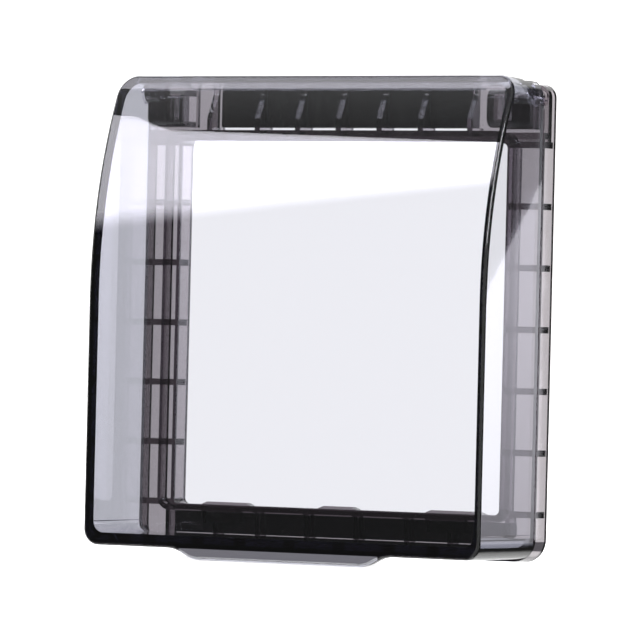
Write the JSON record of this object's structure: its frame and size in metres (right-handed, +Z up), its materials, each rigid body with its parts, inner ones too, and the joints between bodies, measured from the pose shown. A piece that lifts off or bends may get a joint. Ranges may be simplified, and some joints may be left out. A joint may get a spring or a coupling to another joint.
{
  "type": "waterproof outlet cover",
  "caption": "Stick-on splash cover for an 86 mm wall outlet: smoky clear frame with a bowed see-through lid that flips up on a top hinge and has a finger tab.",
  "frame": {"origin": "centre of the outlet opening, in the plane of the wall", "axes": "+X to the right seen from the front, +Y into the wall, +Z up; the lid faces -Y"},
  "size_m": [0.1112, 0.0303, 0.1158],
  "materials": {
    "base_plastic": "clear, smoke-tinted, polished",
    "lid_plastic": "clear, lightly tinted, polished",
    "adhesive": "matt closed-cell foam tape"
  },
  "bodies": {
    "base": {"base_frame": "base_plastic", "adhesive_strip_top": "adhesive", "adhesive_strip_bottom": "adhesive"},
    "lid": {"lid": "lid_plastic"}
  },
  "joints": [
    {"name": "lid_hinge", "type": "hinge", "parent": "base", "child": "lid", "pos_m": [0, -0.00795, 0.0552], "axis": [-1, 0, 0], "range_deg": [0, 105]}
  ]
}
